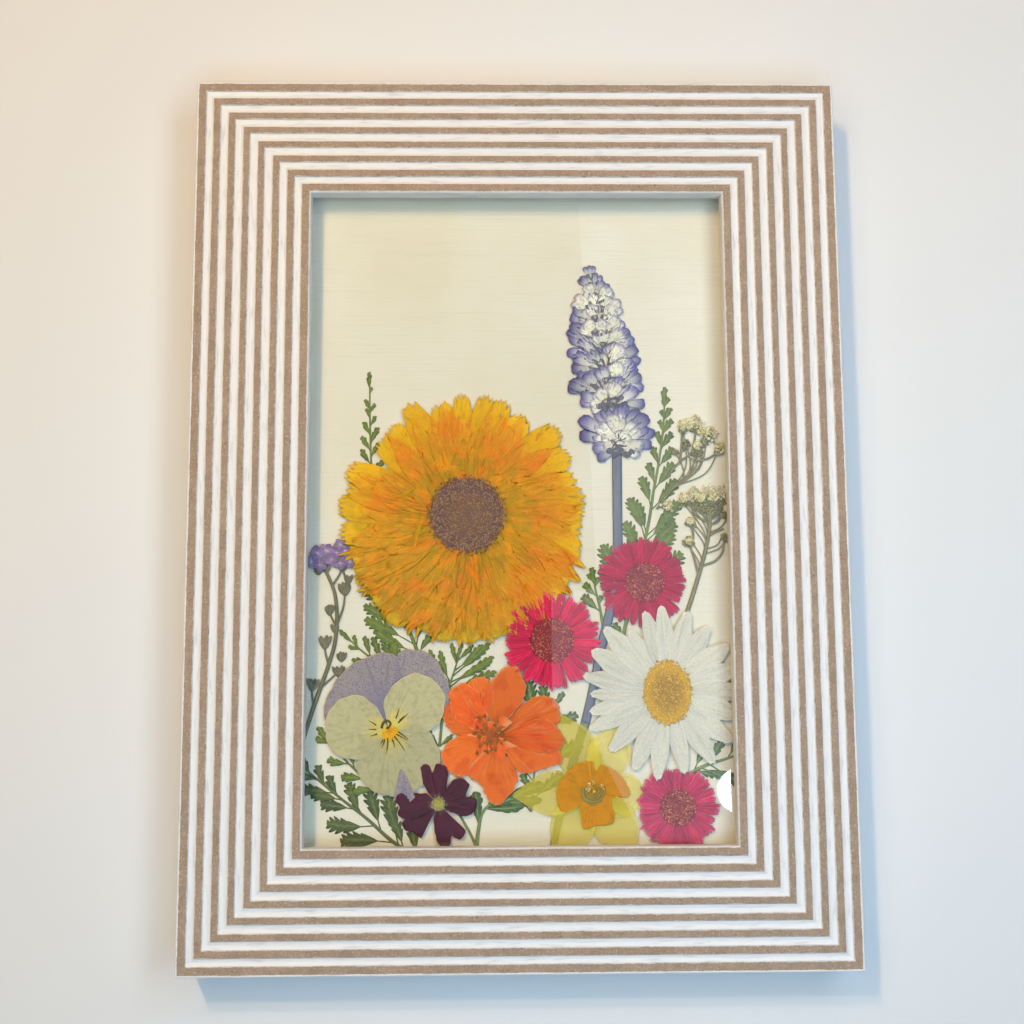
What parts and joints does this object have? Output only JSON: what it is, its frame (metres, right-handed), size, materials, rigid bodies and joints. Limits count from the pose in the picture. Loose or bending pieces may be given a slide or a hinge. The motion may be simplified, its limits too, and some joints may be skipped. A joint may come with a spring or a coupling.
{
  "type": "pressed flower frame",
  "caption": "Reeded fibreboard picture frame whose clear pane covers pressed flowers, ferns and leaves laid on cream paper, closed by a back board and bendable steel points.",
  "frame": {"origin": "under the middle of the frame, on the plane of the rails' back faces", "axes": "+X across the picture to its right, +Y up the picture along the long rails, +Z out of the glass towards the viewer"},
  "size_m": [0.144, 0.1952, 0.0155],
  "materials": {
    "moulding": "bare fibreboard ridges between white painted grooves",
    "pane": "clear, polished",
    "paper": "cream, matte, faintly laid",
    "board": "brown hardboard, smooth side out",
    "point": "blackened, thin",
    "leaf": "dried green leaf, matte",
    "sage": "dried blue-violet florets with pale throats, matte",
    "mauve": "dried mauve and blue florets on an olive stem, matte",
    "umbel": "dried cream florets on olive stems, matte",
    "narcissus": "dried translucent pale yellow petals, amber trumpet",
    "crimson_ray": "dried crimson-pink rays, matte",
    "white_ray": "dried white rays, yellow eye, matte",
    "orange_petal": "dried orange petals, veined, matte",
    "viola_petal": "dried lilac and pale yellow-green petals, translucent",
    "purple_petal": "dried dark purple petals, matte",
    "yellow_ray": "dried golden rays, creased, matte"
  },
  "bodies": {
    "root": {"rail_bottom": "moulding", "rail_right": "moulding", "rail_top": "moulding", "rail_left": "moulding", "glass_pane": "pane", "backing_sheet": "paper", "back_board": "board", "retaining_point_1": "point", "retaining_point_2": "point", "retaining_point_3": "point", "retaining_point_4": "point", "retaining_point_5": "point", "retaining_point_6": "point", "fern_left": "leaf", "fern_right": "leaf", "frond_lower_left": "leaf", "leaf_under_orange": "leaf", "leaf_right_edge": "leaf", "fern_spray_left": "leaf", "fern_spray_centre": "leaf", "leaf_left_of_viola": "leaf", "leaf_by_stem": "leaf", "sprig_bottom": "leaf", "sage_spike": "sage", "blue_sprig": "mauve", "yarrow_upper": "umbel", "yarrow_lower": "umbel", "narcissus": "narcissus", "pink_daisy_upper": "crimson_ray", "pink_daisy_lower": "crimson_ray", "pink_daisy_centre": "crimson_ray", "white_daisy": "white_ray", "orange_flower": "orange_petal", "viola": "viola_petal", "purple_flower": "purple_petal", "yellow_flower": "yellow_ray"}
  },
  "joints": []
}
